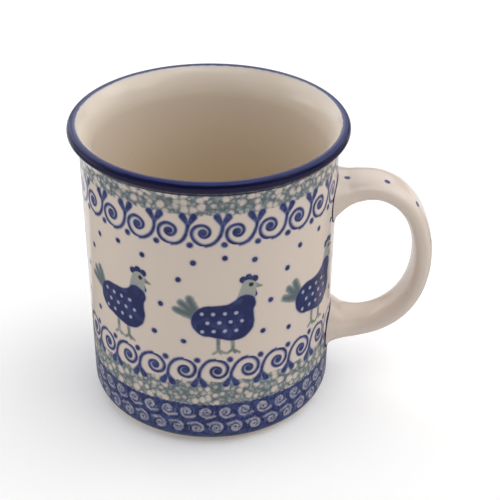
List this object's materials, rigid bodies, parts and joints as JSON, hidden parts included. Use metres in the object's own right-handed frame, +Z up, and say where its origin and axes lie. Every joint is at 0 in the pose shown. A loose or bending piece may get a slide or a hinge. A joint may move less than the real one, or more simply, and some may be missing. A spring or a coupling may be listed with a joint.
{
  "type": "mug",
  "caption": "Straight-sided stoneware mug with a rolled dark blue lip, a strap handle, and hand-decorated blue bands and hens under a clear glaze.",
  "frame": {"origin": "on the cup's axis, in the plane that the foot stands on", "axes": "+Z up along the cup's axis, out of its mouth; +X towards the handle; +Y completes a right-handed frame"},
  "size_m": [0.1137, 0.086, 0.095],
  "materials": {
    "stoneware": "matte",
    "slip": "gloss",
    "decorated_glaze": "gloss",
    "clear_glaze": "gloss",
    "cobalt_glaze": "gloss"
  },
  "bodies": {
    "root": {"body": "stoneware", "handle": "stoneware", "upper_slip_joint": "slip", "lower_slip_joint": "slip", "outer_glaze": "decorated_glaze", "inner_glaze": "clear_glaze", "handle_glaze": "clear_glaze", "underside_glaze": "clear_glaze", "rim_band": "cobalt_glaze"}
  },
  "joints": []
}
